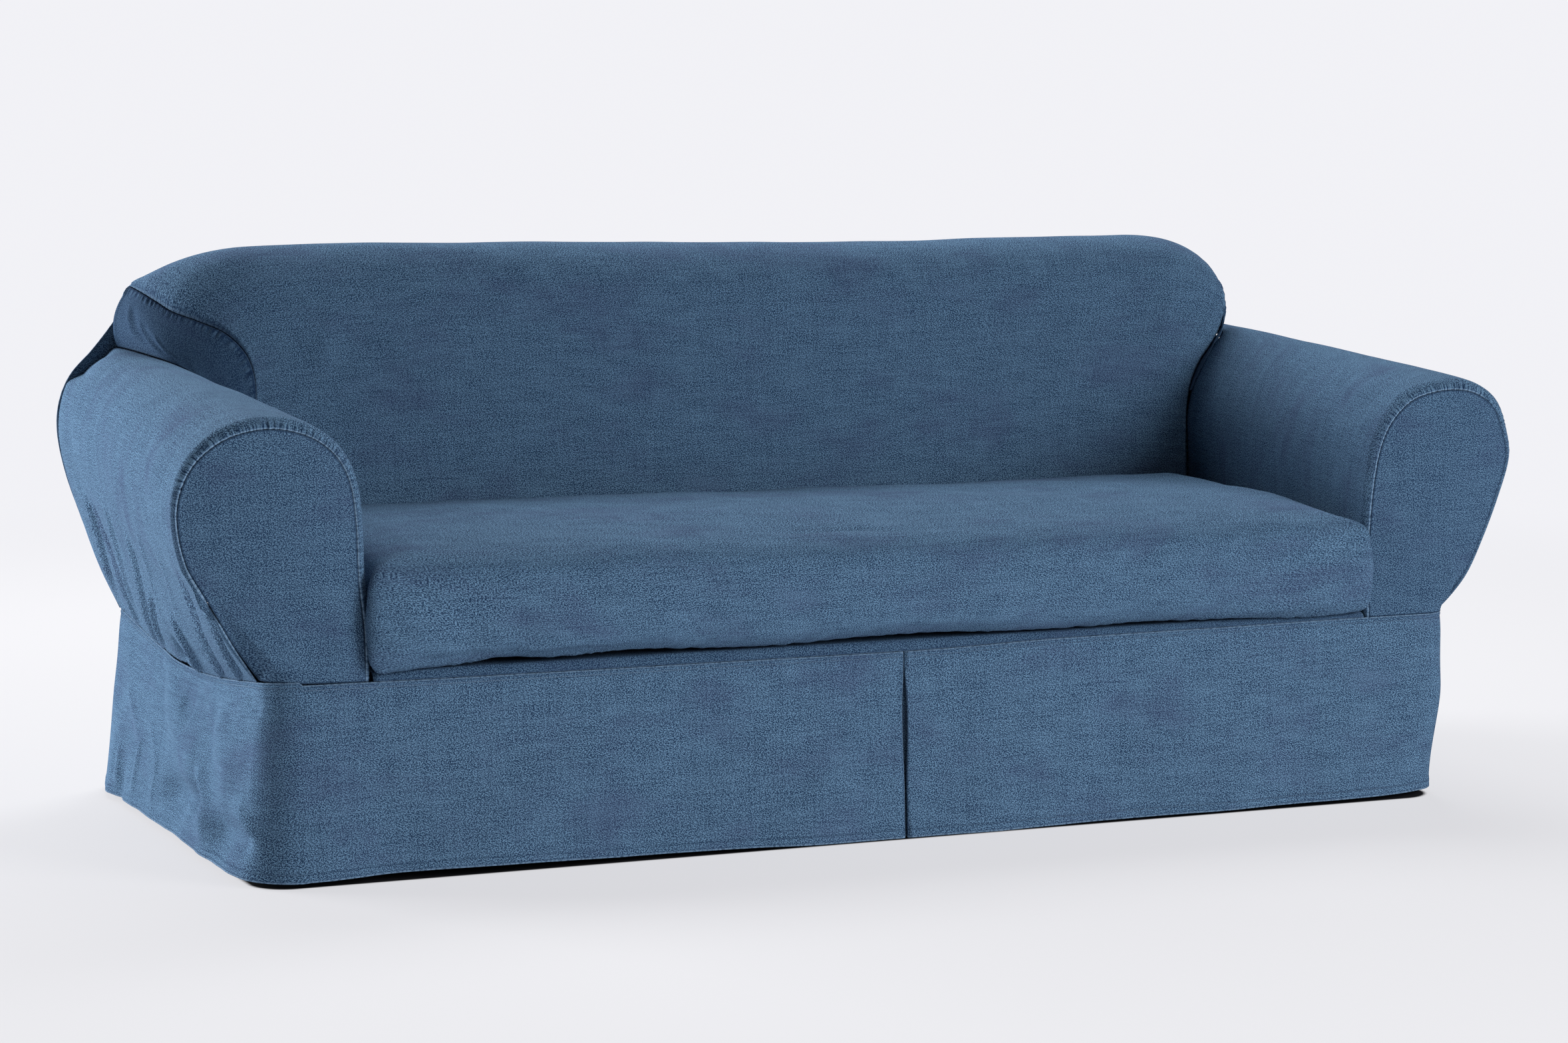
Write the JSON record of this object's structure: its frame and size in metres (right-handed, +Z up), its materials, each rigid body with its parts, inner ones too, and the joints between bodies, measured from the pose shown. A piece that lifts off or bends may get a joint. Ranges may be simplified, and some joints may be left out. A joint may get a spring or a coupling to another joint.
{
  "type": "sofa slipcover",
  "caption": "Fitted denim slipcover for a rolled-arm sofa, with a gathered back, a bench seat cushion cover and a floor-length skirt with a kick pleat.",
  "frame": {"origin": "under the top of the back, at the middle of its width, where the sofa's back carries the cover", "axes": "+X along the seat to the sitter's left, +Y to the rear, +Z up"},
  "size_m": [2.2782, 0.9705, 0.8973],
  "materials": {
    "denim": "washed mid-blue denim, matte, with a fine pale and dark speckle"
  },
  "bodies": {
    "root": {"skirt": "denim", "deck": "denim", "seat_cushion_cover": "denim", "back_cover": "denim", "outside_back": "denim", "arm_left": "denim", "arm_front_left": "denim", "back_end_left": "denim", "arm_right": "denim", "arm_front_right": "denim", "back_end_right": "denim"}
  },
  "joints": []
}
